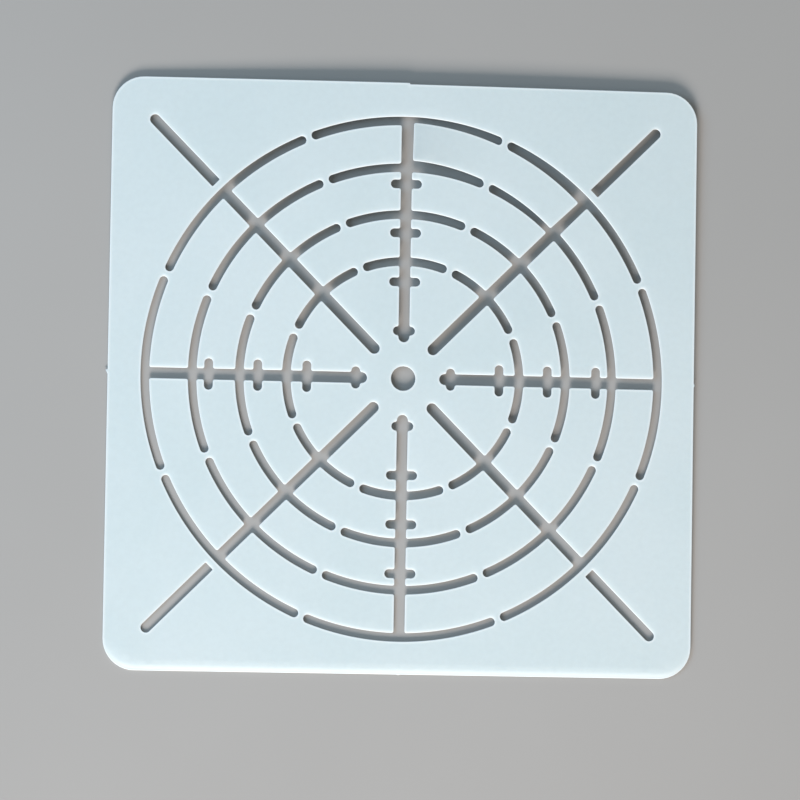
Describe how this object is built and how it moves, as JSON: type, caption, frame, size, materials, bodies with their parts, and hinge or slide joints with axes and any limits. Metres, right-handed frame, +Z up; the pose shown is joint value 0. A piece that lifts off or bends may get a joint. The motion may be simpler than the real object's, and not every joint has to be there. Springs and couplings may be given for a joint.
{
  "type": "circle template",
  "caption": "Thin square plastic drawing template with broken concentric ring slots, crossed spoke slots with short ticks, corner slots and a round centre hole.",
  "frame": {"origin": "centre of the round centre hole, on the underside", "axes": "+Z up through the sheet, +X and +Y towards the middles of two sides, along the spoke slots"},
  "size_m": [0.1307, 0.1305, 0.0003],
  "materials": {
    "sheet_plastic": "opaque pale blue-white flexible sheet with a satin surface and slightly brighter cut edges"
  },
  "bodies": {
    "root": {"stencil_sheet": "sheet_plastic"}
  },
  "joints": []
}
